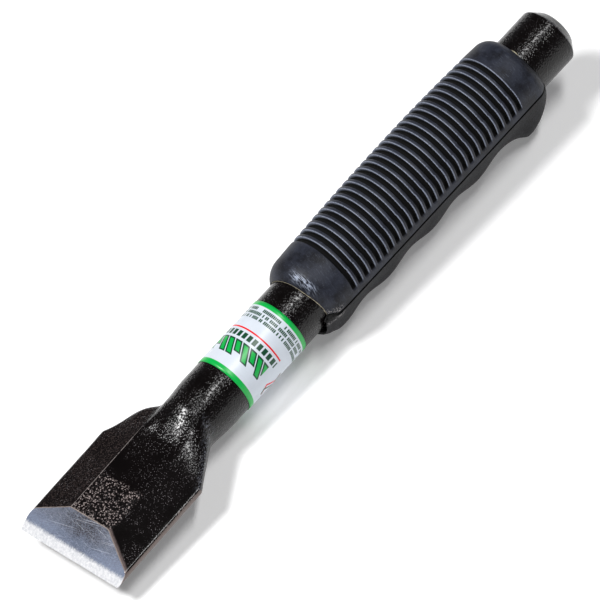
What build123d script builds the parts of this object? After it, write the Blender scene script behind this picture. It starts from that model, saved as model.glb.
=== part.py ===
"""Cold chisel: a steel forging, a moulded finger grip bonded to its bar, and a printed wrap label.

X runs along the bar and out of the struck face, Y across the blade, Z up towards the ribs.
The origin is the centre of the struck face. Sizes are in millimetres.
"""

import os
from math import acos, atan2, cos, pi, radians, sin, sqrt, tan

from build123d import *

# Driving dimensions: the forging
overall_length = 247.7
bar_diameter = 22.0
struck_chamfer = 3.3
neck_reduction = 1.2
neck_taper_length = 10.0
blade_width = 45.0
blade_length = 41.7
flare_length = 18.0
blade_thickness = 6.5
side_face_height = 2.3
plateau_width = 17.1
cutting_edge_drop = 2.5
blade_droop_degrees = 2.0
bevel_degrees = 28.5

# Driving dimensions: the grip's ribbed upper side, with walls measured from the bore
grip_length = 114.1
bar_behind_grip = 19.2
lip_wall = 0.4
front_crown_wall = 4.0
middle_crown_wall = 5.55
rear_crown_wall = 4.3
flank_wall = 3.7
mouth_to_middle_crown = 67.3
front_rounding_length = 7.0
rear_rounding_length = 5.2
groove_count = 28
groove_pitch = 3.155
groove_width = 1.55
groove_depth = 1.5
mouth_to_first_groove = 15.2
groove_stop_height = 3.5

# Driving dimensions: the grip's fingered lower side, with walls measured from the bore
keel_side_gap = 0.7
keel_bottom_wall = 0.8
keel_mouth_wall = 2.2
keel_rear_wall = 1.0
keel_nose_length = 8.0
keel_station_spacing = 2.4
finger_count = 4
finger_pitch = 23.1
mouth_to_first_finger = 21.3
finger_valley_wall = 4.4
finger_crest_wall = 6.5
lug_wall = 11.2
last_finger_to_lug = 13.8
lug_fullness = 1.6
parting_groove_width = 0.5
parting_groove_depth = 1.1
mouth_relief_length = 3.0
mouth_relief_gap = 1.2

# Driving dimensions: the bond and the label
bond_film = 0.2
bond_bead = 0.6
label_film = 0.2
label_length = 28.3
label_to_grip = 9.0
label_overlap_degrees = 24.0

# Radii and depths from the bar's axis
bar_radius = bar_diameter / 2
neck_radius = bar_radius - neck_reduction / 2
bore_radius = bar_radius + bond_film
lip_radius = bore_radius + lip_wall
front_crown_radius = bore_radius + front_crown_wall
middle_crown_radius = bore_radius + middle_crown_wall
rear_crown_radius = bore_radius + rear_crown_wall
upper_half_width = bore_radius + flank_wall
keel_bottom_radius = bore_radius + keel_bottom_wall
keel_mouth_depth = bore_radius + keel_mouth_wall
keel_rear_depth = bore_radius + keel_rear_wall
finger_valley_depth = bore_radius + finger_valley_wall
finger_crest_depth = bore_radius + finger_crest_wall
lug_depth = bore_radius + lug_wall

# Places along the bar, all from the struck face
edge_x = -overall_length
shoulder_x = edge_x + blade_length
neck_x = shoulder_x + flare_length
grip_rear_x = -bar_behind_grip
grip_front_x = grip_rear_x - grip_length
front_crown_x = grip_front_x + front_rounding_length
middle_crown_x = grip_front_x + mouth_to_middle_crown
rear_crown_x = grip_rear_x - rear_rounding_length
last_finger_x = grip_front_x + mouth_to_first_finger + (finger_count - 1) * finger_pitch
lug_x = last_finger_x + last_finger_to_lug
label_rear_x = grip_front_x - label_to_grip
label_front_x = label_rear_x - label_length

# Larger than any section of the chisel, for the cutting tools
reach = 80.0


def arc_drop(distance, length, drop):
    """Fall at a distance along a circular arc that starts level and has fallen by drop at length."""
    radius = (length**2 + drop**2) / (2 * drop)
    return radius - sqrt(radius**2 - distance**2)


def turned(points, degrees=360):
    """Solid turned about the bar's axis from an outline of (x, radius) points."""
    outline = Face(Wire.make_polygon([Vector(x, 0, radius) for x, radius in points]))
    return revolve(outline, axis=Axis.X, revolution_arc=degrees)


def sleeve(start_x, end_x, inner_radius, outer_radius, degrees=360):
    """Sleeve about the bar's axis, or a sector of one."""
    corners = [
        (start_x, inner_radius),
        (start_x, outer_radius),
        (end_x, outer_radius),
        (end_x, inner_radius),
    ]
    return turned(corners, degrees)


def slab(low_z, high_z):
    """Everything between two heights."""
    return Pos(edge_x / 2, 0, (low_z + high_z) / 2) * Box(2 * overall_length, reach, high_z - low_z)


def blade_face(x):
    """Blade section: flat underside, low side faces, sloping facets and a raised plateau."""
    underside = (x - edge_x) * tan(radians(blade_droop_degrees)) - cutting_edge_drop
    corners = [
        (blade_width / 2, underside),
        (blade_width / 2, underside + side_face_height),
        (plateau_width / 2, underside + blade_thickness),
        (-plateau_width / 2, underside + blade_thickness),
        (-blade_width / 2, underside + side_face_height),
        (-blade_width / 2, underside),
    ]
    return Face(Wire.make_polygon([Vector(x, y, z) for y, z in corners]))


def neck_face():
    """Round section of the neck, in six arcs that meet the six sides of the blade."""
    ridge = acos(plateau_width / 2 / neck_radius)
    side = atan2(side_face_height / 2, neck_radius)
    turns = [-side, side, ridge, pi - ridge, pi - side, pi + side, 2 * pi - side]

    def on_neck(turn):
        return Vector(neck_x, neck_radius * cos(turn), neck_radius * sin(turn))

    arcs = []
    for start, end in zip(turns[:-1], turns[1:]):
        arcs.append(Edge.make_three_point_arc(on_neck(start), on_neck((start + end) / 2), on_neck(end)))
    return Face(Wire(arcs))


def chisel_forging():
    """Blade, flare, bar and struck end, forged in one piece and ground to an edge from above."""
    bar = turned([
        (neck_x, 0),
        (neck_x, neck_radius),
        (neck_x + neck_taper_length, bar_radius),
        (-struck_chamfer, bar_radius),
        (0, bar_radius - struck_chamfer),
        (0, 0),
    ])
    blade = loft([blade_face(edge_x), blade_face(shoulder_x)], ruled=True)
    flare = loft([blade_face(shoulder_x), neck_face()], ruled=True)
    bevel_top = reach * tan(radians(bevel_degrees)) - cutting_edge_drop
    ground_away = Face(Wire.make_polygon([
        Vector(edge_x, -blade_width, -cutting_edge_drop),
        Vector(edge_x + reach, -blade_width, bevel_top),
        Vector(edge_x, -blade_width, bevel_top),
    ]))
    return blade + flare + bar - extrude(ground_away, amount=2 * blade_width, dir=(0, 1, 0))


def crown_radius(x):
    """Radius of the grip's upper side, which swells from both ends to the middle of the palm."""
    if x < middle_crown_x:
        length = middle_crown_x - front_crown_x
        swell = middle_crown_radius - front_crown_radius
    else:
        length = rear_crown_x - middle_crown_x
        swell = middle_crown_radius - rear_crown_radius
    return middle_crown_radius - arc_drop(x - middle_crown_x, length, swell)


def upper_side():
    """Round upper side of the grip with upright flanks, rounded down to a thin lip at both ends."""
    along = Vector(1, 0, 0)
    front_lip = Vector(grip_front_x, 0, lip_radius)
    front_crown = Vector(front_crown_x, 0, front_crown_radius)
    middle_crown = Vector(middle_crown_x, 0, middle_crown_radius)
    rear_crown = Vector(rear_crown_x, 0, rear_crown_radius)
    rear_lip = Vector(grip_rear_x, 0, lip_radius)
    outline = Wire([
        Edge.make_line(Vector(grip_front_x, 0, 0), front_lip),
        Edge.make_tangent_arc(front_crown, along * -1, front_lip),
        Edge.make_tangent_arc(middle_crown, along * -1, front_crown),
        Edge.make_tangent_arc(middle_crown, along, rear_crown),
        Edge.make_tangent_arc(rear_crown, along, rear_lip),
        Edge.make_line(rear_lip, Vector(grip_rear_x, 0, 0)),
        Edge.make_line(Vector(grip_rear_x, 0, 0), Vector(grip_front_x, 0, 0)),
    ])
    body = revolve(Face(outline), axis=Axis.X)
    flanks = Pos(edge_x / 2, 0, reach / 2) * Box(2 * overall_length, 2 * upper_half_width, reach)
    return body & flanks


def keel_depth(x):
    """Depth of the grip's lower side below the bar's axis: nose, finger grooves, then the hooked lug."""
    if x >= lug_x:
        share = (x - lug_x) / (grip_rear_x - lug_x)
        height = (1 - share**lug_fullness) ** (1 / lug_fullness)
        return keel_rear_depth + (lug_depth - keel_rear_depth) * height
    if x >= last_finger_x:
        hook = lug_depth - finger_valley_depth
        return finger_valley_depth + arc_drop(x - last_finger_x, last_finger_to_lug, hook)
    nose_x = grip_front_x + keel_nose_length
    if x < nose_x:
        nose_rise = wave_depth(nose_x) - keel_mouth_depth
        return wave_depth(nose_x) - arc_drop(nose_x - x, keel_nose_length, nose_rise)
    return wave_depth(x)


def wave_depth(x):
    """Depth of the even wave that the finger grooves follow."""
    middle = (finger_crest_depth + finger_valley_depth) / 2
    swing = (finger_crest_depth - finger_valley_depth) / 2
    return middle - swing * cos(2 * pi * (last_finger_x - x) / finger_pitch)


def keel_half_width(x):
    """Half width of the lower side, drawn in a little at its two ends."""
    full = upper_half_width - keel_side_gap
    front_distance = grip_front_x + front_rounding_length - x
    rear_distance = x - (grip_rear_x - rear_rounding_length)
    if front_distance > 0:
        return full - arc_drop(front_distance, front_rounding_length, keel_side_gap)
    if rear_distance > 0:
        return full - arc_drop(rear_distance, rear_rounding_length, full - keel_rear_depth)
    return full


def keel_face(x):
    """Section of the lower side: two flanks that run onto a round bottom."""
    half_width = keel_half_width(x)
    depth = keel_depth(x)
    bottom_radius = min(keel_bottom_radius, half_width, depth)
    centre_depth = depth - bottom_radius
    corner_distance = sqrt(half_width**2 + centre_depth**2)
    tangent_turn = atan2(centre_depth, half_width) - acos(min(1, bottom_radius / corner_distance))
    tangent = Vector(x, bottom_radius * cos(tangent_turn), bottom_radius * sin(tangent_turn) - centre_depth)
    corner = Vector(x, half_width, parting_groove_width)
    other_tangent = Vector(x, -tangent.Y, tangent.Z)
    other_corner = Vector(x, -corner.Y, corner.Z)
    return Face(Wire([
        Edge.make_line(other_corner, corner),
        Edge.make_line(corner, tangent),
        Edge.make_three_point_arc(tangent, Vector(x, 0, -depth), other_tangent),
        Edge.make_line(other_tangent, other_corner),
    ]))


def lower_side():
    """Keel of the grip, from the nose to the lug and back up to the bar."""
    faces = []
    for start_x, end_x in ((grip_front_x, lug_x), (lug_x, grip_rear_x)):
        steps = max(2, round((end_x - start_x) / keel_station_spacing))
        stations = [start_x + (end_x - start_x) * step / steps for step in range(steps + 1)]
        faces.append([keel_face(x) for x in stations])
    return loft(faces[0], ruled=True) + loft(faces[1], ruled=True)


def hand_grip():
    """The moulded grip: ribbed on top, fingered below, with a groove along its mould parting."""
    body = upper_side() + lower_side()
    cutters = [sleeve(grip_front_x - reach, grip_rear_x + reach, 0, bore_radius)]
    above_stop = slab(groove_stop_height, reach)
    for number in range(groove_count):
        groove_x = grip_front_x + mouth_to_first_groove + number * groove_pitch
        floor_radius = crown_radius(groove_x) - groove_depth
        groove = sleeve(groove_x - groove_width / 2, groove_x + groove_width / 2, floor_radius, reach)
        cutters.append(groove & above_stop)
    parting = Box(2 * overall_length, reach, parting_groove_width)
    parting_core = Box(2 * overall_length, 2 * (upper_half_width - parting_groove_depth), reach)
    cutters.append(Pos(edge_x / 2, 0, 0) * (parting - parting_core))
    relief_x = grip_front_x + mouth_relief_length
    relief = sleeve(grip_front_x - reach, relief_x, 0, bore_radius + mouth_relief_gap)
    cutters.append(relief & slab(-reach, 0))
    return body - cutters


def grip_adhesive():
    """Bond between grip and bar, with the bead that squeezed out at the mouth above the bar."""
    film = sleeve(grip_front_x, grip_rear_x, bar_radius, bore_radius)
    bead = turned([
        (grip_front_x - bond_bead, bar_radius),
        (grip_front_x, bar_radius + bond_bead),
        (grip_front_x, bar_radius),
    ])
    return film + (bead & slab(0, reach))


def wrap_label():
    """Printed film wrapped once around the bar, its two ends overlapping underneath."""
    wrap_radius = bar_radius + label_film
    lap_radius = wrap_radius + label_film
    wrap = sleeve(label_front_x, label_rear_x, bar_radius, wrap_radius)
    lap = sleeve(label_front_x, label_rear_x, wrap_radius, lap_radius, label_overlap_degrees)
    return wrap + lap.rotate(Axis.X, 180 - label_overlap_degrees / 2)


pieces = {
    "chisel_forging": chisel_forging,
    "hand_grip": hand_grip,
    "grip_adhesive": grip_adhesive,
    "wrap_label": wrap_label,
}

os.makedirs("parts", exist_ok=True)
for node, make in pieces.items():
    export_step(make(), f"parts/{node}.step")
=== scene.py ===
"""Looks of the cold chisel: the painted forging, the label, the bonded finger grip and its studio."""

from math import acos, asin, atan, atan2, cos, degrees, hypot, pi, radians, sin, sqrt, tan

import bmesh
import bpy
import numpy as np
from mathutils import Matrix, Vector, noise


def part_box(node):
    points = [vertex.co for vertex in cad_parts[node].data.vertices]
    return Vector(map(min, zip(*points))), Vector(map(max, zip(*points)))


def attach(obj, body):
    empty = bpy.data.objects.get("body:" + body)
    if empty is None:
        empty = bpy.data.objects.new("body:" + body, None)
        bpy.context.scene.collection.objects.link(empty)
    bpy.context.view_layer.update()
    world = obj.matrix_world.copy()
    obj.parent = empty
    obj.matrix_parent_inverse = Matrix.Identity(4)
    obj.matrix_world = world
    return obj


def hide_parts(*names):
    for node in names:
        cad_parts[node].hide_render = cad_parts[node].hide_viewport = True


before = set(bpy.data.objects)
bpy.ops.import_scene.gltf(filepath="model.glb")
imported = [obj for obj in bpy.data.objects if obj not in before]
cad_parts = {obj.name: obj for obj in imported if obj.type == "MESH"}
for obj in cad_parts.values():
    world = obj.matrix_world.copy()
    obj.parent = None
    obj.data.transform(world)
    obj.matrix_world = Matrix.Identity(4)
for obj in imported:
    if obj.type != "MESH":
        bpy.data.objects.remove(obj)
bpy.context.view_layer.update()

# The chisel is one steel forging. A round bar is hammered out to a flat, drooping blade at one end,
# chamfered at the other, dipped in black paint, and then ground from above to a single bare bevel.
mm = 0.001
forging_low, forging_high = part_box("chisel_forging")
edge_x = forging_low.x
struck_x = forging_high.x
blade_half_width = forging_high.y
bar_radius = forging_high.z

shoulder_x = edge_x + 41.7 * mm
neck_x = shoulder_x + 18.0 * mm
neck_radius = bar_radius - 0.6 * mm
neck_taper = 10.0 * mm
blade_thickness = 6.5 * mm
side_face_height = 2.3 * mm
rounded_edge_rise = 1.1 * mm
plateau_half_width = 8.55 * mm
edge_drop = 2.5 * mm
droop_slope = tan(radians(2.0))
bevel_slope = tan(radians(28.5))
ramp_start_x = shoulder_x + 6.5 * mm
ramp_end_x = neck_x + 0.5 * mm
plateau_end_x = shoulder_x + 6 * mm
flare_swell, flare_lift = 1.8 * mm, 1.5 * mm
chamfer = 3.3 * mm


def ramp(low, high, value):
    """0 below low, 1 above high, and a straight rise between them."""
    return min(1, max(0, (value - low) / (high - low)))


def ease(low, high, value):
    """0 below low, 1 above high, and a smooth rise between them."""
    share = ramp(low, high, value)
    return share * share * (3 - 2 * share)


def rounded_outline(corners, radii, arc_steps, side_steps):
    """Points round a section whose straight sides meet in rounded corners."""
    arcs = []
    for number, corner in enumerate(corners):
        back = (corners[number - 1] - corner).normalized()
        ahead = (corners[(number + 1) % len(corners)] - corner).normalized()
        half = back.angle(ahead) / 2
        start = corner + back * radii[number] / tan(half)
        end = corner + ahead * radii[number] / tan(half)
        middle = corner + (back + ahead).normalized() * radii[number] / sin(half)
        first, last = (start - middle).normalized(), (end - middle).normalized()
        spokes = [first.slerp(last, step / arc_steps) for step in range(arc_steps + 1)]
        arcs.append([middle + spoke * radii[number] for spoke in spokes])
    points = []
    for number, arc in enumerate(arcs):
        goal = arcs[(number + 1) % len(arcs)][0]
        steps = side_steps[number]
        points += arc
        points += [arc[-1].lerp(goal, step / steps) for step in range(1, steps)]
    return points


def round_outline(radius, turns, corner_turn, arc_steps, side_steps):
    """Points round a circle, counted out like those of the section with corners at these turns."""
    angles = []
    for number, turn in enumerate(turns):
        next_turn = turns[(number + 1) % len(turns)] + (2 * pi if number == len(turns) - 1 else 0)
        steps = side_steps[number]
        angles += [turn - corner_turn + 2 * corner_turn * step / arc_steps for step in range(arc_steps + 1)]
        start = turn + corner_turn
        length = next_turn - corner_turn - start
        angles += [start + length * step / steps for step in range(1, steps)]
    return [Vector((radius * cos(angle), radius * sin(angle))) for angle in angles]


def skin(name, rings, closed_tube=False):
    """Object whose surface joins a row of rings, capped at its two ends or joined into a tube."""
    count = len(rings[0])
    shell = bmesh.new()
    rows = [[shell.verts.new(point) for point in ring] for ring in rings]
    pairs = list(zip(rows[:-1], rows[1:]))
    if closed_tube:
        pairs.append((rows[-1], rows[0]))
    else:
        shell.faces.new(rows[0])
        shell.faces.new(reversed(rows[-1]))
    for row, next_row in pairs:
        for place in range(count):
            after = (place + 1) % count
            shell.faces.new((row[place], next_row[place], next_row[after], row[after]))
    bmesh.ops.recalc_face_normals(shell, faces=shell.faces)
    mesh = bpy.data.meshes.new(name)
    shell.to_mesh(mesh)
    shell.free()
    mesh.shade_smooth()
    piece = bpy.data.objects.new(name, mesh)
    bpy.context.scene.collection.objects.link(piece)
    return piece


corner_radii = [0.5 * mm, 2.2 * mm, 0.25 * mm, 6.0 * mm, 1.2 * mm, 0.8 * mm]
corner_steps = 5
side_steps = [3, 14, 24, 14, 3, 24]
ridge_turn = acos(plateau_half_width / neck_radius)
side_turn = atan2(side_face_height / 2, neck_radius)
neck_turns = [-side_turn, side_turn, ridge_turn, pi - ridge_turn, pi - side_turn, pi + side_turn]


def blade_outline(x):
    """Blade section, with a crisp ridge on one side of the plateau and a soft one on the other.

    The outer edge beyond the crisp ridge stands higher and is rounded over.
    """
    low = (x - edge_x) * droop_slope - edge_drop
    corners = [
        Vector((blade_half_width, low)),
        Vector((blade_half_width, low + side_face_height + rounded_edge_rise)),
        Vector((plateau_half_width, low + blade_thickness)),
        Vector((-plateau_half_width, low + blade_thickness)),
        Vector((-blade_half_width, low + side_face_height)),
        Vector((-blade_half_width, low)),
    ]
    return rounded_outline(corners, corner_radii, corner_steps, side_steps)


def bar_outline(radius):
    """Round section of the bar."""
    return round_outline(radius, neck_turns, radians(2.5), corner_steps, side_steps)


def flare_outline(x):
    """Section between blade and neck, whose roof climbs late and steeply while its sides run in.

    The side beyond the crisp ridge swells outwards on its way to the neck.
    """
    share = ramp(shoulder_x, neck_x, x)
    climb = ramp(ramp_start_x, ramp_end_x, x)
    side_top = (shoulder_x - edge_x) * droop_slope - edge_drop + side_face_height
    facet_height = blade_thickness - side_face_height
    points = []
    for low_point, high_point in zip(blade_outline(min(x, plateau_end_x)), bar_outline(neck_radius)):
        roof = ramp(side_top, side_top + facet_height, low_point.y)
        roof *= 1 - ease(3.5 * mm, plateau_half_width, low_point.x)
        lift = share + (climb - share) * roof
        y = low_point.x + (high_point.x - low_point.x) * share
        z = low_point.y + (high_point.y - low_point.y) * lift
        outer = ease(plateau_half_width, blade_half_width - 3 * mm, low_point.x)
        swell = outer * sin(pi * share**2)
        above_sole = ease(-2 * mm, side_top, low_point.y)
        points.append(Vector((y + flare_swell * swell, z + flare_lift * swell * above_sole)))
    return points


# sections stand closest together along the flare, and never two at one place
stretches = [
    (edge_x - 2 * mm, shoulder_x - 4 * mm, 1.2 * mm),
    (shoulder_x - 4 * mm, neck_x + 4 * mm, 0.4 * mm),
    (neck_x + 4 * mm, neck_x + neck_taper + 2 * mm, 1.0 * mm),
    (neck_x + neck_taper + 2 * mm, -20 * mm, 4.0 * mm),
    (-20 * mm, struck_x - chamfer - 1.2 * mm, 1.0 * mm),
]
stations = [x for start, end, spacing in stretches for x in np.arange(start, end, spacing)]
stations = [x for x, next_x in zip(stations, stations[1:] + [struck_x]) if next_x - x > 0.1 * mm]
sections = []
for x in stations:
    if x < shoulder_x:
        sections.append([tuple(point) for point in blade_outline(x)])
    elif x < neck_x:
        sections.append([tuple(point) for point in flare_outline(x)])
    else:
        radius = neck_radius + (bar_radius - neck_radius) * ease(neck_x, neck_x + neck_taper, x)
        sections.append([tuple(point) for point in bar_outline(radius)])
sections = np.array(sections)
stations = np.array(stations)

# the hammer leaves no sharp turn where the blade's sides run into the flare and the flare into the bar
softened = sections.copy()
for number, x in enumerate(stations):
    spread = 0.3 * mm + 0.6 * mm * ease(shoulder_x + 2 * mm, neck_x - 4 * mm, x)
    if shoulder_x - 3 * mm < x < neck_x + 5 * mm:
        weights = np.exp(-(((stations - x) / spread) ** 2) / 2) * np.gradient(stations)
        softened[number] = np.tensordot(weights / weights.sum(), sections, axes=1)
sections = softened

forging_rings = [[Vector((x, y, z)) for y, z in section] for x, section in zip(stations, sections)]
shoulder_turn = 0.2 * mm
end_profile = [
    (struck_x - chamfer - 2 * shoulder_turn, bar_radius),
    (struck_x - chamfer - shoulder_turn, bar_radius - 0.01 * mm),
    (struck_x - chamfer, bar_radius - 0.08 * mm),
    (struck_x - chamfer + shoulder_turn, bar_radius - 0.26 * mm),
    (struck_x - 0.35 * mm, bar_radius - chamfer + 0.35 * mm),
    (struck_x - 0.13 * mm, bar_radius - chamfer + 0.08 * mm),
    (struck_x - 0.03 * mm, bar_radius - chamfer - 0.2 * mm),
    (struck_x, bar_radius - chamfer - 0.8 * mm),
]
end_profile += [(struck_x - 0.02 * mm, radius * mm) for radius in (5.0, 3.5, 2.0, 0.6)]
for x, radius in end_profile:
    forging_rings.append([Vector((x, y, z)) for y, z in bar_outline(radius)])
forging = skin("painted_forging", forging_rings)

# hammer marks leave the blade and flare a little uneven, and blows have dented the struck face
broad_mark, broad_depth = 7 * mm, 0.10 * mm
small_mark, small_depth = 2.2 * mm, 0.05 * mm
face_mark, face_depth = 2.5 * mm, 0.05 * mm
for vertex in forging.data.vertices:
    place = vertex.co
    forged = 1 - ease(neck_x, neck_x + neck_taper, place.x)
    waves = noise.noise(place / broad_mark) * broad_depth + noise.noise(place / small_mark) * small_depth
    sunk = max(0, -waves)
    out = Vector((0, place.y * 0.1, place.z)).normalized()
    vertex.co = place - out * sunk * forged
    if place.x > struck_x - 0.1 * mm:
        vertex.co.x -= (1 + noise.noise(place / face_mark)) * face_depth

# the grinding wheel takes everything above the bevel, and leaves it flat with a crisp rim
crisp = radians(24)
bevel_normal = Vector((-bevel_slope, 0, 1)).normalized()
edge_point = Vector((edge_x, 0, -edge_drop))
ground = bmesh.new()
ground.from_mesh(forging.data)
cut = bmesh.ops.bisect_plane(
    ground,
    geom=ground.verts[:] + ground.edges[:] + ground.faces[:],
    plane_co=edge_point,
    plane_no=bevel_normal,
    clear_outer=True,
)
rim = [part for part in cut["geom_cut"] if isinstance(part, bmesh.types.BMEdge)]
filled = bmesh.ops.edgeloop_fill(ground, edges=rim)["faces"]
bmesh.ops.recalc_face_normals(ground, faces=ground.faces)
for face in filled:
    face.material_index = 1
    face.smooth = False
for line in ground.edges:
    line.smooth = line.calc_face_angle(0) < crisp
ground.to_mesh(forging.data)
ground.free()


class Signal:
    """A socket in a node tree. A sum written on signals adds the Math nodes that work it out."""

    def __init__(self, tree, socket):
        self.tree = tree
        self.socket = socket

    def node(self, kind, settings=None, values=None, output=0):
        """Adds a node: its settings first, then the values or signals of its sockets."""
        made = self.tree.nodes.new(kind)
        for name, value in (settings or {}).items():
            setattr(made, name, value)
        for name, value in (values or {}).items():
            if isinstance(value, Signal):
                self.tree.links.new(value.socket, made.inputs[name])
            else:
                made.inputs[name].default_value = value
        return Signal(self.tree, made.outputs[output])

    def math(self, operation, *others):
        """Math node's result for this signal and the others."""
        return self.node("ShaderNodeMath", {"operation": operation}, dict(enumerate((self, *others))))

    def __add__(self, other):
        return self.math("ADD", other)

    __radd__ = __add__

    def __mul__(self, other):
        return self.math("MULTIPLY", other)

    __rmul__ = __mul__

    def __sub__(self, other):
        return self.math("SUBTRACT", other)

    def __rsub__(self, other):
        return self * -1 + other

    def __truediv__(self, other):
        return self.math("DIVIDE", other)

    def between(self, low, high):
        """0 below low, 1 above high, smooth between."""
        return self.node(
            "ShaderNodeMapRange",
            {"interpolation_type": "SMOOTHSTEP"},
            {"Value": self, "From Min": low, "From Max": high},
        )

    def inside(self, low, high, soft):
        """1 between low and high, and 0 beyond them."""
        return self.between(low - soft, low + soft) * (1 - self.between(high - soft, high + soft))

    def mix(self, first, second):
        """Colour first where this is 0 and colour second where it is 1."""
        first, second = [c if isinstance(c, Signal) else (*c, 1) for c in (first, second)]
        return self.node("ShaderNodeMix", {"data_type": "RGBA"}, {0: self, 6: first, 7: second}, 2)

    def noise(self, size, detail=2.0, roughness=0.5, length=(1, 1, 1), turn=0.0):
        """Noise on this place, with lumps of about that size, drawn out by length along turned axes."""
        scaled = self.node(
            "ShaderNodeMapping",
            {"vector_type": "TEXTURE"},
            {"Vector": self, "Rotation": (0, 0, turn), "Scale": length},
        )
        return self.node(
            "ShaderNodeTexNoise",
            None,
            {"Vector": scaled, "Scale": 1 / size, "Detail": detail, "Roughness": roughness},
        )

    def dots(self, size):
        """Distance from the middles of scattered dots, in parts of that size, and each dot's own number."""
        cells = self.node("ShaderNodeTexVoronoi", None, {"Vector": self, "Scale": 1 / size})
        kind = Signal(self.tree, cells.socket.node.outputs["Color"])
        return cells, kind.axis(0)

    def chance(self):
        """A number between 0 and 1 that is unlike its neighbours', one for each whole number."""
        return self.node("ShaderNodeTexWhiteNoise", {"noise_dimensions": "1D"}, {"W": self})

    def axis(self, number):
        """This place's x, y or z."""
        return self.node("ShaderNodeSeparateXYZ", None, {0: self}, number)

    def bump(self, height):
        """Normal that a relief of this height, in metres, gives to the surface."""
        return self.node("ShaderNodeBump", None, {"Height": self, "Distance": height})


def new_finish(name):
    """A material, its shader and the signal that gives the place on the piece."""
    finish = bpy.data.materials.new(name)
    finish.use_nodes = True
    shader = finish.node_tree.nodes["Principled BSDF"]
    start = Signal(finish.node_tree, shader.outputs[0])
    place = start.node("ShaderNodeTexCoord", output=3)
    return finish, shader, place


def feed(shader, **signals):
    """Links signals to the shader's sockets, named with underscores for spaces."""
    for name, signal in signals.items():
        signal.tree.links.new(signal.socket, shader.inputs[name.replace("_", " ")])


# black paint over forged steel: pebbly skin that breaks up every highlight, flecks of bare scale,
# a rough stamped patch behind the bevel, and bright lines where the paint is worn off the edges;
# with painted light too: a painted highlight along one side of the flare, a bare line at the bevel's
# rim that is also a painted highlight, and side faces painted lighter so that they look lit
thin_paint, thick_paint = (0.0018, 0.0013, 0.0013), (0.0045, 0.0034, 0.0033)
scale_grey, facet_brown, scab_pink = (0.15, 0.14, 0.145), (0.070, 0.052, 0.048), (0.28, 0.23, 0.22)
worn_steel, side_brown_painted_lit, shoulder_grey = (0.24, 0.21, 0.20), (0.20, 0.155, 0.14), (0.16, 0.16, 0.17)
flare_highlight_grey, stain_brown, rim_steel_and_highlight = (0.17, 0.18, 0.21), (0.13, 0.10, 0.095), (0.50, 0.42, 0.38)
patch_start_x, patch_end_x = edge_x + 9.0 * mm, edge_x + 29.5 * mm
paint, paint_shader, place = new_finish("black_paint")
x, y, z = (place.axis(number) for number in range(3))
forged_part = 1 - x.between(neck_x, neck_x + 8 * mm)
clouds = place.noise(9 * mm, 3, 0.55)
pebbles = 1 - place.dots(0.66 * mm)[0].between(0.05, 0.65)
grain = place.noise(0.30 * mm, 2, 0.6)
blade_part = 1 - x.between(shoulder_x + 2 * mm, shoulder_x + 9 * mm)
fleck_centre, fleck_kind = place.dots(0.45 * mm)
flecks = (1 - fleck_centre.between(0.20, 0.38)) * fleck_kind.between(0.45, 1.0) * clouds.between(0.38, 0.56)
colour = clouds.mix(thin_paint, thick_paint)
colour = (flecks * (0.35 + forged_part * 0.65)).mix(colour, scale_grey)

on_facet = y.between(plateau_half_width + 0.15 * mm, plateau_half_width + 0.95 * mm)
facet_mottle = place.noise(0.5 * mm, 3, 0.7).between(0.45, 0.75) * on_facet
colour = (facet_mottle * forged_part * 0.7).mix(colour, facet_brown)

scab_centre, scab_kind = place.dots(0.68 * mm)
ragged = place.noise(1.6 * mm, 2) * (2 * mm)
patch = (x + ragged).inside(patch_start_x, patch_end_x, 0.8 * mm)
patch = patch * (y + ragged).inside(-8.6 * mm, 9.6 * mm, 0.6 * mm) * z.between(0, mm)
scab_shape = 1 - (scab_centre + (grain - 0.5) * 1.2).between(0.24, 0.46)
scabs = scab_shape * scab_kind.between(0.05, 0.75)
colour = (patch * scabs).mix(colour, scab_pink)

ridge_wear = y.inside(plateau_half_width - 0.14 * mm, plateau_half_width + 0.14 * mm, 0.07 * mm)
ridge_wear = ridge_wear * z.between(2 * mm, 3 * mm) * (1 - x.between(neck_x - 3 * mm, neck_x - mm))
ridge_wear = ridge_wear * place.noise(1.2 * mm, 3, 0.7).between(0.30, 0.55)
colour = (ridge_wear * 0.75).mix(colour, worn_steel)

# painted light: the blade's side faces are coloured a light brown, much brighter than the paint, as if lit
side_face = 1 - (y + blade_half_width).between(0.10 * mm, 0.30 * mm)
edge_wear = y.inside(-blade_half_width + 0.10 * mm, -blade_half_width + 0.55 * mm, 0.1 * mm)
edge_wear = edge_wear * place.noise(0.7 * mm, 3, 0.7).between(0.48, 0.62) * z.between(0, mm)
colour = (side_face * (0.5 + grain * 0.6)).mix(colour, side_brown_painted_lit)
colour = (edge_wear * 0.8).mix(colour, worn_steel)
shoulder_wear = x.inside(struck_x - chamfer - 0.30 * mm, struck_x - chamfer + 0.02 * mm, 0.06 * mm)
shoulder_wear = shoulder_wear * place.noise(1.5 * mm, 3, 0.7).between(0.35, 0.60)
colour = (shoulder_wear * 0.5).mix(colour, shoulder_grey)

# painted highlight: a pale streaky band on the flare just inside its side on the soft ridge's side, where
# its rounded corner would catch the light
side_slope = (blade_half_width - neck_radius) / (neck_x - shoulder_x)
side_line = (x - shoulder_x).math("MAXIMUM", 0) * side_slope - blade_half_width
near_side = 1 - (y - side_line).between(0.3 * mm, 2.6 * mm)
flare_part = x.inside(shoulder_x - mm, neck_x + 2 * mm, 2 * mm) * z.between(0, mm)
painted_flare_highlight = near_side * flare_part * place.noise(0.42 * mm, 3, 0.7, (2.5, 1, 1)).between(0.48, 0.68)
colour = (painted_flare_highlight * 0.8).mix(colour, flare_highlight_grey)

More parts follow.
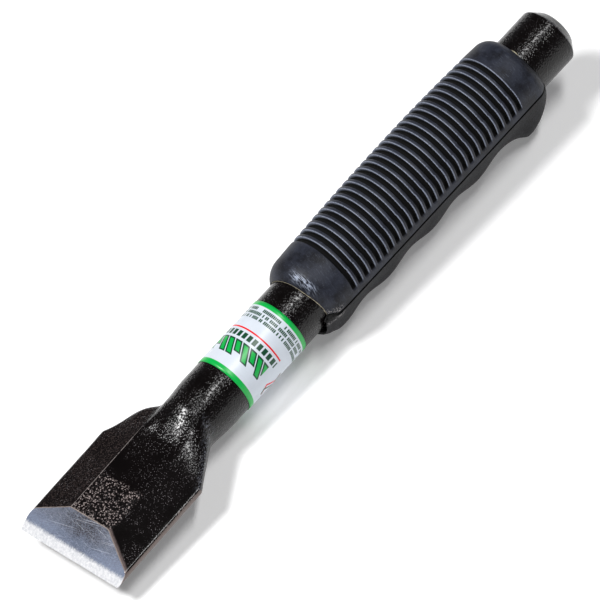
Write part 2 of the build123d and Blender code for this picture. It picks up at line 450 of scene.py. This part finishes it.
bevel_height = (x - edge_x) * bevel_slope - edge_drop
wander = (place.noise(1.3 * mm, 3, 0.7) - 0.5) * (0.30 * mm)
below_rim = bevel_height - z + wander
# a thin line of bare steel below the bevel's rim, made bright as a painted highlight of the rim as well
bare_line_and_highlight = 1 - below_rim.between(0.08 * mm, 0.24 * mm)
near_facet = 1 - (y + plateau_half_width).between(-mm, mm)
stained = (1 - below_rim.between(0.35 * mm, 0.9 * mm)) * near_facet
colour = (stained * (0.35 + grain * 0.9)).mix(colour, stain_brown)
colour = bare_line_and_highlight.mix(colour, rim_steel_and_highlight)
relief = pebbles * (0.95 - blade_part * 0.70) + clouds * 1.2 - patch * scabs * 0.6
feed(
    paint_shader,
    Base_Color=colour,
    Roughness=0.14 + clouds * 0.06 + patch * 0.08 + painted_flare_highlight * 0.2,
    Metallic=bare_line_and_highlight * 0.6,
    Normal=relief.bump(0.07 * mm),
)
paint_shader.inputs["Specular IOR Level"].default_value = 0.30

# bare ground steel: darkest in the middle, scratched both ways by the wheel, with a few deep gouges,
# bluer towards the honed edge, which is nearly white
middle_dark, outer_dark = (0.028, 0.022, 0.022), (0.12, 0.13, 0.165)
wheel_grey, rough_grey, cross_grey = (0.27, 0.30, 0.38), (0.26, 0.29, 0.37), (0.40, 0.42, 0.46)
gouge_bright, band_blue = (0.50, 0.51, 0.55), (0.26, 0.32, 0.46)
honed_dull, honed_bright = (0.52, 0.53, 0.56), (0.74, 0.74, 0.75)
steel, steel_shader, place = new_finish("ground_steel")
x, y, z = (place.axis(number) for number in range(3))
smears = place.noise(4 * mm, 4, 0.65)
wheel_lines = place.noise(0.22 * mm, 3, 0.65, (14, 1, 14), radians(8)).between(0.42, 0.66)
cross_lines = place.noise(0.22 * mm, 2, 0.6, (26, 1, 26), radians(78)).between(0.62, 0.68)
rough_ground = place.noise(0.30 * mm, 3, 0.75, (1, 3, 1), radians(20)).between(0.40, 0.64)
gouges = place.noise(0.34 * mm, 1, 0.5, (60, 1, 60), radians(100)).between(0.70, 0.74)
toward_side = (y.math("ABSOLUTE") + (smears - 0.5) * (12 * mm)).between(2 * mm, 14 * mm)
colour = toward_side.mix(middle_dark, outer_dark)
colour = (wheel_lines * 0.30).mix(colour, wheel_grey)
colour = (rough_ground * 0.50).mix(colour, rough_grey)
colour = (cross_lines * 0.50).mix(colour, cross_grey)
colour = (gouges * 0.7).mix(colour, gouge_bright)
near_band = 1 - (x - edge_x + (smears - 0.5) * (5 * mm)).between(4.5 * mm, 9 * mm)
colour = (near_band * 0.35).mix(colour, band_blue)
streaks = place.noise(0.5 * mm, 3, 0.7, (3, 1, 1)) * (2.2 * mm)
honed = 1 - (x - edge_x + streaks).between(3.4 * mm, 4.9 * mm)
honed_white = place.noise(0.8 * mm, 3, 0.7).between(0.3, 0.7).mix(honed_dull, honed_bright)
colour = honed.mix(colour, honed_white)
feed(
    steel_shader,
    Base_Color=colour,
    Roughness=0.36 + smears * 0.16 - cross_lines * 0.1,
    Metallic=1 - honed * 0.9,
    Normal=(wheel_lines + cross_lines + rough_ground).bump(0.008 * mm),
)

forging.data.materials.append(paint)
forging.data.materials.append(steel)
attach(forging, "root")
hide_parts("chisel_forging")


# The label is one strip of white vinyl film, printed in green and red. It is wrapped once round the
# bar, just ahead of the grip, and stuck down with its ends lapped underneath.
label_low, label_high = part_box("wrap_label")
length = (label_high.x - label_low.x) / mm
label_film = 0.2 * mm
lap = radians(24)
wrap_steps = 180
wrap_start = 3 * pi / 2 - lap / 2
wrapped_turn = 2 * pi + lap
label_rows = 30
outer = []
for row in range(label_rows + 1):
    x = label_low.x + (label_high.x - label_low.x) * row / label_rows
    line = []
    for step in range(wrap_steps + 1):
        turn = wrap_start + wrapped_turn * step / wrap_steps
        lifted = ease(2 * pi - radians(6), 2 * pi + radians(2), turn - wrap_start)
        lifted_radius = bar_radius + label_film * (0.9 + lifted)
        line.append(Vector((x, lifted_radius * cos(turn), lifted_radius * sin(turn))))
    outer.append(line)
film = bmesh.new()
sheet_verts = [[film.verts.new(point) for point in line] for line in outer]
arc_layer = film.loops.layers.uv.new("print")
for row in range(label_rows):
    for step in range(wrap_steps):
        corners = [(row, step), (row + 1, step), (row + 1, step + 1), (row, step + 1)]
        face = film.faces.new([sheet_verts[r][s] for r, s in corners])
        for loop, (r, s) in zip(face.loops, corners):
            turn = wrap_start + wrapped_turn * s / wrap_steps
            loop[arc_layer].uv = (degrees(turn) - 270, length * r / label_rows)
film.normal_update()
film.faces.ensure_lookup_table()
if film.faces[0].normal.dot(Vector((0, *film.faces[0].calc_center_median().yz))) < 0:
    bmesh.ops.reverse_faces(film, faces=film.faces)
label_mesh = bpy.data.meshes.new("wrap_label_print")
film.to_mesh(label_mesh)
film.free()
label_mesh.shade_smooth()
label = bpy.data.objects.new("wrap_label_print", label_mesh)
bpy.context.scene.collection.objects.link(label)
thickness = label.modifiers.new("film", "SOLIDIFY")
thickness.thickness = 0.12 * mm
thickness.offset = -1

# the print, laid out in degrees round the bar and millimetres along it: two green bands, a row of
# plain slanted bars, a row of blocks, a red rule, three rows of dashes and a folded stripe
label_finish, label_shader, place = new_finish("printed_film")
across = place.node("ShaderNodeUVMap", {"uv_map": "print"})
turn, along = across.axis(0), across.axis(1)
around = turn * (pi / 180 * bar_radius / mm)
green, dark_green, red = (0.0, 0.40, 0.06), (0.002, 0.055, 0.022), (0.75, 0.008, 0.014)
soil_brown = (0.30, 0.25, 0.20)
paper = place.noise(3 * mm).mix((0.57, 0.62, 0.69), (0.65, 0.70, 0.77))
bands = 1 - along.inside(2.0, length - 1.7, 0.06)
# slanted bars of uneven height, each with a dark outline
slant = (around + along * 0.55) / 3.1
bar_number = slant.math("FLOOR")
bar_share = slant.math("FRACT")
uneven = bar_number.chance()
bar_low = 6.2 + uneven.between(0.55, 0.6) * 1.9
mark_room = turn.inside(40, 254, 0.5)
bar_outer = bar_share.inside(0.06, 0.94, 0.02) * (along - bar_low).between(0, 0.12)
bar_outer = bar_outer * (1 - along.between(12.3, 12.42))
bar_inner = bar_share.inside(0.25, 0.75, 0.02) * (along - bar_low).between(0.5, 0.62)
bar_inner = bar_inner * (1 - along.between(11.7, 11.82))
# bold blocks, and three rows of short dashes
block_share = (around / 2.15).math("FRACT")
blocks = block_share.inside(0.14, 0.84, 0.04) * along.inside(13.3, 15.6, 0.08) * turn.inside(30, 262, 0.5)
red_rule = along.inside(16.5, 17.1, 0.06) * turn.inside(30, 263, 0.5)
dash_column, dash_row = around / 0.62, along / 1.75
dash_number = dash_column.math("FLOOR") + dash_row.math("FLOOR") * 37
dashes = dash_number.chance().between(0.30, 0.31)
dashes = dashes * dash_column.math("FRACT").inside(0.1, 0.9, 0.05)
dashes = dashes * dash_row.math("FRACT").inside(0.10, 0.80, 0.05) * along.inside(20.9, 26.0, 0.05)
colour = bands.mix(paper, green)
colour = (bar_outer * mark_room).mix(colour, dark_green)
colour = (bar_inner * mark_room).mix(colour, green)
colour = (blocks + dashes).mix(colour, dark_green)
colour = red_rule.mix(colour, red)
for offset, ink in ((0.0, red), (1.5, dark_green)):
    fold = ((along + offset) / 4.4).math("PINGPONG", 1)
    wander = turn - (276 + offset * 3) - fold * 16 - along * 0.6
    stroke = wander.inside(-2.6, 2.6, 0.4) * along.inside(5.5, 15.5, 0.1)
    colour = stroke.mix(colour, ink)
soil = place.noise(0.8 * mm, 4, 0.7).between(0.66, 0.74)
colour = (soil * 0.5).mix(colour, soil_brown)
feed(
    label_shader,
    Base_Color=colour,
    Roughness=0.34 + soil * 0.3,
    Normal=place.noise(2 * mm).bump(0.02 * mm),
)

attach(label, "root")
label.data.materials.append(label_finish)
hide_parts("wrap_label")


# The grip is moulded rubber in two halves that meet in a parting groove: ribs round the upper side,
# four finger hollows and a hooked lug below. It is slid over the bar and bonded there.
grip_low, grip_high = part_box("hand_grip")
mouth_x, rear_x = grip_low.x, grip_high.x
flank = grip_high.y
crown = grip_high.z
bore = bar_radius + 0.2 * mm
lip = bore + 0.45 * mm
front_crown, rear_crown = bore + 4.0 * mm, bore + 4.3 * mm
middle_x = mouth_x + 67.3 * mm
front_round, rear_round = 7.0 * mm, 5.2 * mm
keel_half = flank - 0.6 * mm
keel_bottom = bore + 0.8 * mm
keel_nose = 6.0 * mm
half_parting, lower_lip = 0.38 * mm, -1.25 * mm
lug_depth = -grip_low.z - 0.05 * mm
valley_depth, crest_depth = bore + 4.4 * mm, bore + 6.5 * mm
finger_pitch = 23.1 * mm
last_finger_x = mouth_x + 21.3 * mm + 3 * finger_pitch
lug_x = last_finger_x + 13.8 * mm
groove_count, groove_pitch = 28, 3.155 * mm
groove_half, groove_depth = 0.95 * mm, 1.5 * mm
first_groove_x = mouth_x + 15.2 * mm
groove_stop = 3.0 * mm
skew, skew_shift = 0.068, -0.70 * mm
skew_turn = radians(37)
dip_turn = radians(127)
front_dip, rear_dip, torn_cut = 0.9 * mm, 1.3 * mm, 2.1 * mm


def fall(distance, length, drop):
    """Fall along a circular arc that starts level and has fallen by drop at length."""
    radius = (length**2 + drop**2) / (2 * drop)
    return radius - sqrt(max(0, radius**2 - distance**2))


def crown_radius(x):
    """Radius of the palm side, which swells to the middle."""
    end_x, end_radius = mouth_x + front_round, front_crown
    if x >= middle_x:
        end_x, end_radius = rear_x - rear_round, rear_crown
    radius = crown - (crown - end_radius) * min(1, ((x - middle_x) / (end_x - middle_x)) ** 2)
    if x < mouth_x + front_round:
        radius -= fall(mouth_x + front_round - x, front_round, front_crown - lip)
    if x > rear_x - rear_round:
        radius -= fall(x - rear_x + rear_round, rear_round, rear_crown - lip)
    return radius


def flank_width(x):
    """Half width of the flanks, drawn in with the crown at the two ends."""
    width = flank
    if x < mouth_x + front_round:
        width -= fall(mouth_x + front_round - x, front_round, flank - lip)
    if x > rear_x - rear_round:
        width -= fall(x - rear_x + rear_round, rear_round, flank - lip)
    return width


def keel_depth(x):
    """Depth of the finger side below the bar's axis."""
    middle, swing = (crest_depth + valley_depth) / 2, (crest_depth - valley_depth) / 2
    fullness = 1.6
    if x >= lug_x:
        share = (x - lug_x) / (rear_x - lug_x)
        return keel_bottom + (lug_depth - keel_bottom) * (1 - share**fullness) ** (1 / fullness)
    if x >= last_finger_x:
        return valley_depth + fall(x - last_finger_x, lug_x - last_finger_x, lug_depth - valley_depth)
    depth = middle - swing * cos(2 * pi * (last_finger_x - x) / finger_pitch)
    if x < mouth_x + keel_nose:
        depth -= fall(mouth_x + keel_nose - x, keel_nose, depth - bore - 2.2 * mm)
    return depth


def keel_width(x):
    """Half width of the finger side where it meets the parting groove."""
    width = keel_half
    if x < mouth_x + front_round:
        width -= fall(mouth_x + front_round - x, front_round, 1.6 * mm)
    if x > rear_x - rear_round:
        width -= fall(x - rear_x + rear_round, rear_round, keel_half - bore - 0.6 * mm)
    return width


upper_steps, lower_steps = 88, 44


def grip_section(x):
    """Points round the grip at x: over the palm side, into the parting groove, and round the keel."""
    radius, width = crown_radius(x), flank_width(x)
    groove_floor = width - min(1.0 * mm, (width - bore) * 0.6)
    lip_turn = asin(half_parting / width)
    points = []
    for step in range(upper_steps + 1):
        turn = lip_turn + (pi - 2 * lip_turn) * step / upper_steps
        flat = width / max(1e-6, abs(cos(turn)))
        blend = max(0, 1 - abs(flat - radius) / (1.2 * mm)) ** 2 * 0.3 * mm
        reach = max(min(flat, radius) - blend, lip)
        points.append((reach * cos(turn), reach * sin(turn)))
    half_width, depth = keel_width(x), keel_depth(x)
    round_radius = min(keel_bottom, half_width - 0.01 * mm, depth)
    centre = depth - round_radius
    tangent = atan2(centre, half_width) - acos(min(1, round_radius / hypot(half_width, centre)))
    floor_top, floor_bottom = half_parting * 0.7, lower_lip * 0.8
    points += [(-groove_floor, floor_top), (-groove_floor, floor_bottom)]
    flank_point = Vector((round_radius * cos(tangent), round_radius * sin(tangent) - centre))
    flank_steps = 8
    start = Vector((half_width, lower_lip))
    keel = [start.lerp(flank_point, step / flank_steps) for step in range(flank_steps)]
    arc_steps = lower_steps // 2 - flank_steps
    for step in range(arc_steps + 1):
        turn = tangent + (-pi / 2 - tangent) * step / arc_steps
        keel.append(Vector((round_radius * cos(turn), round_radius * sin(turn) - centre)))
    points += [(-point.x, point.y) for point in keel]
    points += [(point.x, point.y) for point in reversed(keel[:-1])]
    points += [(groove_floor, floor_bottom), (groove_floor, floor_top)]
    return points


# stations lie on the corners of every groove, so that the grooves' walls are clean
corner_places = [0, 0.70, 0.82, 0.95, 1.08, 1.24]
grip_stations = [mouth_x + front_round * (1 - cos(pi / 2 * step / 14)) for step in range(15)]
grip_stations += list(np.linspace(grip_stations[-1], first_groove_x - 1.3 * mm, 8)[1:-1])
for number in range(groove_count):
    centre = first_groove_x + number * groove_pitch
    grip_stations += [centre - place * mm for place in corner_places[:0:-1]]
    grip_stations += [centre + place * mm for place in corner_places]
    if number < groove_count - 1:
        grip_stations.append(centre + groove_pitch / 2)
last_groove_x = first_groove_x + (groove_count - 1) * groove_pitch
grip_stations += list(np.linspace(last_groove_x + 1.4 * mm, rear_x - rear_round, 7))
grip_stations += [rear_x - rear_round + rear_round * sin(pi / 2 * step / 12) for step in range(1, 13)]


def dip(turn):
    """How much of the mouths' dip there is at this turn round the bar."""
    return max(0, cos(turn - dip_turn)) ** 2


def mouth_recess(turn):
    """How far the front mouth is cut back at this turn round the bar: most at the side where it tore."""
    return front_dip * dip(turn) + torn_cut * ease(radians(112), radians(182), turn)


def lean(y, z):
    """How far a ring of the mould leans towards the struck end at this side of the bar."""
    return skew * (y * cos(skew_turn) + z * sin(skew_turn)) + skew_shift


grip_rings = []
for x in grip_stations:
    leaning = ease(mouth_x + 6 * mm, first_groove_x - 2 * mm, x)
    leaning *= 1 - ease(last_groove_x + 2 * mm, rear_x - 5 * mm, x)
    front_scoop = 1 - ease(mouth_x, mouth_x + 8 * mm, x)
    rear_scoop = ease(rear_x - 8 * mm, rear_x, x)
    ring = []
    for y, z in grip_section(x):
        turn = atan2(z, y)
        recess = mouth_recess(turn) if z > 0 else front_dip * dip(turn)
        shift = leaning * lean(y, z) + front_scoop * recess - rear_scoop * rear_dip * dip(turn)
        ring.append(Vector((x + shift, y, z)))
    grip_rings.append(ring)


def inner_ring(ring, shift, upper_radius, lower_radius):
    """Ring inside the bore, with its points at the same turns as an outer ring's."""
    points = []
    for point in ring:
        share = ease(-2 * mm, 0.5 * mm, point.z)
        radius = lower_radius + (upper_radius - lower_radius) * share
        out = Vector((0, point.y, point.z)).normalized()
        points.append(Vector((point.x + shift, 0, 0)) + out * radius)
    return points


relief_radius = bore + 1.2 * mm
front, rear = grip_rings[0], grip_rings[-1]
inner_rings = [
    inner_ring(rear, 0.0, bore, bore),
    inner_ring(front, 4.0 * mm, bore, bore),
    inner_ring(front, 3.4 * mm, bore, relief_radius),
    inner_ring(front, 0.35 * mm, bore, relief_radius),
]
front_face = [inner_ring(front, 0.0, bore + 0.15 * mm, relief_radius + 0.3 * mm)]
grip = skin("moulded_grip", front_face + grip_rings + inner_rings, closed_tube=True)

# the keel's nose is torn and lumpy where the mould's flash was pulled off
lump, lump_depth = 2.6 * mm, 0.5 * mm
for vertex in grip.data.vertices:
    place = vertex.co
    outside = hypot(place.y, place.z) > relief_radius + 0.5 * mm
    nose = 1 - ease(mouth_x + 3 * mm, mouth_x + 12 * mm, place.x)
    nose *= (1 - ease(-2 * mm, 0, place.z)) * outside
    out = Vector((0, place.y, place.z)).normalized()
    vertex.co = place - out * nose * (0.35 + 0.65 * noise.noise(place / lump)) * lump_depth

rubber, rubber_shader, place = new_finish("grip_rubber")

# the grooves: a node group sinks them into the smooth palm side, evenly spaced along the leaning rings
grooves = bpy.data.node_groups.new("rib_grooves", "GeometryNodeTree")
sockets = {}
for name, kind in (
    ("Geometry", "NodeSocketGeometry"),
    ("First Groove", "NodeSocketFloat"),
    ("Pitch", "NodeSocketFloat"),
    ("Count", "NodeSocketFloat"),
    ("Half Width", "NodeSocketFloat"),
    ("Depth", "NodeSocketFloat"),
    ("Stop Height", "NodeSocketFloat"),
    ("Material", "NodeSocketMaterial"),
):
    sockets[name] = grooves.interface.new_socket(name, in_out="INPUT", socket_type=kind).identifier
grooves.interface.new_socket("Geometry", in_out="OUTPUT", socket_type="NodeSocketGeometry")
entry = grooves.nodes.new("NodeGroupInput")
given = {name: Signal(grooves, entry.outputs[name]) for name in sockets}
spot = given["Pitch"].node("GeometryNodeInputPosition")
x, y, z = (spot.axis(number) for number in range(3))
turn = z.math("ARCTAN2", y)
step_in_mould = turn.between(radians(138.4), radians(139.2)) * (0.13 * mm)
leaned = y * (skew * cos(skew_turn)) + z * (skew * sin(skew_turn)) + skew_shift
straight = x - leaned - step_in_mould
steps = (straight - given["First Groove"]) / given["Pitch"]
nearest = steps.math("ROUND").math("MAXIMUM", 0).math("MINIMUM", given["Count"] - 1)
distance = (steps - nearest).math("ABSOLUTE") * given["Pitch"]
wall = 1 - (distance - given["Half Width"]).between(-0.2 * mm, 0.0)
shoulder = 1 - (distance - given["Half Width"]).between(-0.1 * mm, 0.3 * mm)
above = (z - given["Stop Height"]).between(-0.4 * mm, 1.6 * mm)
radial = z.node("ShaderNodeCombineXYZ", None, {1: y, 2: z})
outward = radial.node("ShaderNodeVectorMath", {"operation": "NORMALIZE"}, {0: radial})
reach = radial.node("ShaderNodeVectorMath", {"operation": "LENGTH"}, {0: radial}, 1)
outside = above * reach.between(bore + mm, bore + 2 * mm)
sink = (wall * 0.92 + shoulder * 0.08) * outside
# the arris along one wall of each groove, the ribs' blade-facing edge, is marked for wear and for a painted
# highlight
from_arris = ((steps - nearest) * given["Pitch"] - given["Half Width"]).math("ABSOLUTE")
rib_arris_wear_and_highlight = (1 - (from_arris - 0.15 * mm) / (0.16 * mm)).math("MINIMUM", 1).math("MAXIMUM", 0) * outside
offset = outward.node(
    "ShaderNodeVectorMath", {"operation": "SCALE"}, {0: outward, "Scale": sink * given["Depth"] * -1}
)
moved = given["Geometry"].node(
    "GeometryNodeSetPosition", None, {"Geometry": given["Geometry"], "Offset": offset}
)
marked = moved.node(
    "GeometryNodeStoreNamedAttribute",
    {"data_type": "FLOAT", "domain": "POINT"},
    {"Geometry": moved, "Name": "groove", "Value": sink},
)
marked = marked.node(
    "GeometryNodeStoreNamedAttribute",
    {"data_type": "FLOAT", "domain": "POINT"},
    {"Geometry": marked, "Name": "rib_arris_wear_and_highlight", "Value": rib_arris_wear_and_highlight},
)
realized = marked.node("GeometryNodeRealizeInstances", None, {"Geometry": marked})
finished = realized.node(
    "GeometryNodeSetMaterial", None, {"Geometry": realized, "Material": given["Material"]}
)
leave = grooves.nodes.new("NodeGroupOutput")
grooves.links.new(finished.socket, leave.inputs["Geometry"])

sinking = grip.modifiers.new("grooves", "NODES")
sinking.node_group = grooves
for name, value in (
    ("First Groove", first_groove_x),
    ("Pitch", groove_pitch),
    ("Count", float(groove_count)),
    ("Half Width", groove_half),
    ("Depth", groove_depth),
    ("Stop Height", groove_stop),
    ("Material", rubber),
):
    sinking[sockets[name]] = value
evaluated = grip.evaluated_get(bpy.context.evaluated_depsgraph_get())
grooved_mesh = bpy.data.meshes.new_from_object(evaluated)
grip.modifiers.remove(sinking)
grip.data = grooved_mesh
grip.data.set_sharp_from_angle(angle=radians(38))

# dark blue-grey rubber, worn pale on the ribs' edges and with scuffs at the mouth; painted light on it:
# a painted highlight on those edges and over the scuffs, painted shade darkening the keel below the
# parting, and the grooves, the parting groove and the torn pits painted black as shade
deep_rubber, clean_rubber = (0.004, 0.0045, 0.008), (0.019, 0.022, 0.034)
rib_rubber, keel_painted_shade = (0.020, 0.023, 0.034), (0.0050, 0.0046, 0.0055)
groove_painted_shade = (0.002, 0.002, 0.002)
dust_grey, scratch_grey, scuff_and_highlight_blue = (0.065, 0.070, 0.088), (0.20, 0.225, 0.29), (0.50, 0.56, 0.70)
arris_wear_and_highlight_grey, grit, torn_grey = (0.30, 0.335, 0.43), (0.25, 0.24, 0.22), (0.40, 0.38, 0.38)
x, y, z = (place.axis(number) for number in range(3))
turn = z.math("ARCTAN2", y)
in_groove = place.node("ShaderNodeAttribute", {"attribute_name": "groove"}, output=2).between(0.03, 0.25)
rib_arris_wear_and_highlight = place.node("ShaderNodeAttribute", {"attribute_name": "rib_arris_wear_and_highlight"}, output=2)
deep_enough = 1 - y.math("ABSOLUTE").between(flank - 0.5 * mm, flank - 0.25 * mm)
in_parting = z.inside(lower_lip - 0.03 * mm, half_parting + 0.02 * mm, 0.06 * mm) * deep_enough
bloom = place.noise(6 * mm, 4, 0.6)
dust = place.noise(0.33 * mm, 3, 0.7)
arc = (turn + 10).math("MODULO", 2 * pi) * front_crown
wrapped = x.node("ShaderNodeCombineXYZ", None, {0: x, 1: arc})
scratches = wrapped.noise(0.45 * mm, 3, 0.65, (0.8, 6, 1), radians(10))
ribbed = x.inside(first_groove_x - 2 * mm, last_groove_x + 2 * mm, mm)
ribbed = ribbed * z.between(groove_stop, 2 * groove_stop)
facing_up = turn.inside(radians(92), radians(128), radians(12))
# scuffs at the front of the collar on the side facing up, painted pale blue as a highlight on the mouth's
# rounding as well
scuff_and_highlight_zone = x.inside(mouth_x + 2.0 * mm, mouth_x + 3.9 * mm, 1.1 * mm) * facing_up
upper = z.between(-1.3 * mm, -1.1 * mm)
torn = x.inside(mouth_x - mm, mouth_x + 7 * mm, 1.5 * mm) * z.inside(-3.0 * mm, 2.4 * mm, 0.7 * mm)
torn = torn * (1 - y.between(0, mm)) * place.noise(1.1 * mm, 3, 0.7).between(0.44, 0.54)
colour = bloom.between(0.35, 0.65).mix(deep_rubber, clean_rubber)
colour = (ribbed * 0.5).mix(colour, rib_rubber)
# painted shade: below the parting the keel is coloured much darker than the rest of the rubber
colour = upper.mix(keel_painted_shade, colour)
colour = (dust.between(0.50, 0.72) * 0.35).mix(colour, dust_grey)
colour = (scratches.between(0.55, 0.74) * (0.12 + facing_up * 0.15)).mix(colour, scratch_grey)
colour = (scratches.between(0.44, 0.62) * scuff_and_highlight_zone * 0.9).mix(colour, scuff_and_highlight_blue)
# the ribs' blade-facing edges: pale wear and a painted highlight
colour = (rib_arris_wear_and_highlight * dust.between(0.28, 0.55) * 0.85).mix(colour, arris_wear_and_highlight_grey)
colour = dust.between(0.76, 0.82).mix(colour, grit)
colour = (torn * dust.between(0.46, 0.58)).mix(colour, torn_grey)
# painted shade: the rib grooves, the parting groove and the torn pits are coloured black
hollow = in_groove.math("MAXIMUM", in_parting).math("MAXIMUM", torn * 0.8 - dust)
colour = hollow.mix(colour, groove_painted_shade)
relief = dust * 0.7 + bloom * 0.8 + scratches * (0.3 + scuff_and_highlight_zone) - torn * 1.5
feed(
    rubber_shader,
    Base_Color=colour,
    Roughness=0.42 + bloom * 0.14 + in_groove * 0.5 - scuff_and_highlight_zone * 0.14 + (1 - upper) * 0.15,
    Normal=relief.bump(0.08 * mm),
)
rubber_shader.inputs["Specular IOR Level"].default_value = 0.22
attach(grip, "root")
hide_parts("hand_grip")


# The adhesive that bonds the grip to the bar is hidden but for a pale, uneven bead squeezed out
# along the upper side of the front mouth, and a dab at the rear one.
bead_points = 10


def glue_ring(turn, middle_x, middle_radius, thick, spread):
    """Points round the squeezed-out adhesive at this turn, in an oval drawn out along the bar."""
    points = []
    for point in range(bead_points):
        angle = 2 * pi * point / bead_points
        radius = middle_radius + thick * sin(angle)
        x = middle_x + thick * spread * cos(angle)
        points.append(Vector((x, radius * cos(turn), radius * sin(turn))))
    return points


bead_rings = []
bead_steps = 160
for step in range(bead_steps + 1):
    turn = radians(-4) + radians(188) * step / bead_steps
    thick = 0.15 + 0.11 * noise.noise(Vector((turn * 9, 0, 3)))
    thick += 0.05 * noise.noise(Vector((turn * 31, 0, 8)))
    thick *= 0.35 + 0.65 * ease(radians(100), radians(125), turn)
    thick *= ease(0, 0.05, step / bead_steps) * ease(0, 0.05, 1 - step / bead_steps) + 0.02
    bead_x = mouth_x + mouth_recess(min(turn, pi)) + 0.05 * mm
    bead_rings.append(glue_ring(turn, bead_x, bar_radius + 0.15 * mm, thick * mm, 1.1))
bead = skin("adhesive_bead", bead_rings)

dab_rings = []
dab_steps = 24
for step in range(dab_steps + 1):
    turn = radians(95) + radians(18) * step / dab_steps
    lumpy = 0.8 + 0.5 * noise.noise(Vector((turn * 25, 1, 5)))
    thick = 0.30 * sin(pi * (step + 0.3) / (dab_steps + 0.6)) * lumpy
    dab_x = rear_x - rear_dip * dip(turn) + 0.25 * mm
    dab_rings.append(glue_ring(turn, dab_x, bar_radius + 0.1 * mm, thick * mm, 1.5))
dab = skin("adhesive_dab", dab_rings)

dark_glue, pale_glue = (0.30, 0.26, 0.16), (0.62, 0.57, 0.42)
glue, glue_shader, place = new_finish("dried_adhesive")
lumps = place.noise(0.6 * mm, 3, 0.6)
feed(
    glue_shader,
    Base_Color=lumps.mix(dark_glue, pale_glue),
    Roughness=0.35 + lumps * 0.3,
    Normal=lumps.bump(0.05 * mm),
)
for piece in (bead, dab):
    piece.data.materials.append(glue)
    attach(piece, "root")
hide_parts("grip_adhesive")


# The studio: a pale floor under soft light. The chisel's weight lies between the grip's first
# swelling and its lug, so it rests on those two with its blade lifted off the floor.
keel_places = [vertex.co for vertex in grip.data.vertices if vertex.co.z < -bar_radius]
rest_slope = 0.0
for _ in range(4):
    heights = [(place.z + rest_slope * place.x, place.x, place.z) for place in keel_places]
    swelling = min(height for height in heights if height[1] < mouth_x + finger_pitch)
    lug_foot = min(height for height in heights if height[1] > last_finger_x)
    rest_slope = (swelling[2] - lug_foot[2]) / (lug_foot[1] - swelling[1])
floor_mesh = bpy.data.meshes.new("floor")
half_floor = 1.6
corners = [(x * half_floor, y * half_floor, 0) for x, y in ((-1, -1), (1, -1), (1, 1), (-1, 1))]
floor_mesh.from_pydata(corners, [], [(0, 1, 2, 3)])
floor = bpy.data.objects.new("floor", floor_mesh)
bpy.context.scene.collection.objects.link(floor)
floor.rotation_euler = (0, atan(rest_slope), 0)
floor.location = (lug_foot[1], 0, lug_foot[2] - 0.1 * mm)
backdrop, backdrop_shader, place = new_finish("pale_floor")
feed(backdrop_shader, Base_Color=place.noise(0.3).mix((0.86, 0.86, 0.86), (0.88, 0.88, 0.88)))
backdrop_shader.inputs["Roughness"].default_value = 0.9
backdrop_shader.inputs["Emission Color"].default_value = (1, 1, 1, 1)
backdrop_shader.inputs["Emission Strength"].default_value = 0.2
floor.data.materials.append(backdrop)

# the room is dim overhead and paler towards the horizon, so that black paint stays black
world = bpy.data.worlds.new("studio")
world.use_nodes = True
sky_shader = world.node_tree.nodes["Background"]
sky = Signal(world.node_tree, sky_shader.outputs[0]).node("ShaderNodeTexCoord", output=0)
height = sky.axis(2)
room = height.between(0.10, 0.60).mix((0.20, 0.20, 0.215), (0.03, 0.03, 0.034))
world.node_tree.links.new(room.socket, sky_shader.inputs["Color"])
bpy.context.scene.world = world

eye = Vector((-0.72305, -1.03787, 1.36690))
right = Vector((0.64316095, -0.71773072, -0.26684565))
up = Vector((0.69284703, 0.39707949, 0.60190604))
back = Vector((-0.32604752, -0.57200567, 0.75266362))
aim = Vector((-0.12, 0, 0))


def softbox(name, place, size, power):
    """Hangs an area light at that place, turned towards the chisel."""
    lamp = bpy.data.lights.new(name, "AREA")
    lamp.shape = "RECTANGLE"
    lamp.size, lamp.size_y = size
    lamp.energy = power
    holder = bpy.data.objects.new(name, lamp)
    bpy.context.scene.collection.objects.link(holder)
    holder.location = place
    holder.rotation_mode = "QUATERNION"
    holder.rotation_quaternion = (place - aim).to_track_quat("Z", "Y")


# the key lights the blade and the collar from above, and the strip draws the bright line along the bar
softbox("key", aim + Vector((-0.38, 0.20, 1.0)) * 1.5, (0.45, 0.38), 26)
softbox("strip", aim + Vector((0.28, -0.36, 1.0)) * 1.5, (0.9, 0.20), 13)

# a long lens looks down on the chisel from the near side of its blade
camera = bpy.data.objects.new("camera", bpy.data.cameras.new("camera"))
bpy.context.scene.collection.objects.link(camera)
camera.matrix_world = Matrix((
    (right.x, up.x, back.x, eye.x),
    (right.y, up.y, back.y, eye.y),
    (right.z, up.z, back.z, eye.z),
    (0, 0, 0, 1),
))
camera.data.sensor_width = 36
camera.data.lens = 333.8625
camera.data.clip_start, camera.data.clip_end = 0.05, 20
bpy.context.scene.camera = camera
bpy.context.scene.view_settings.view_transform = "Standard"
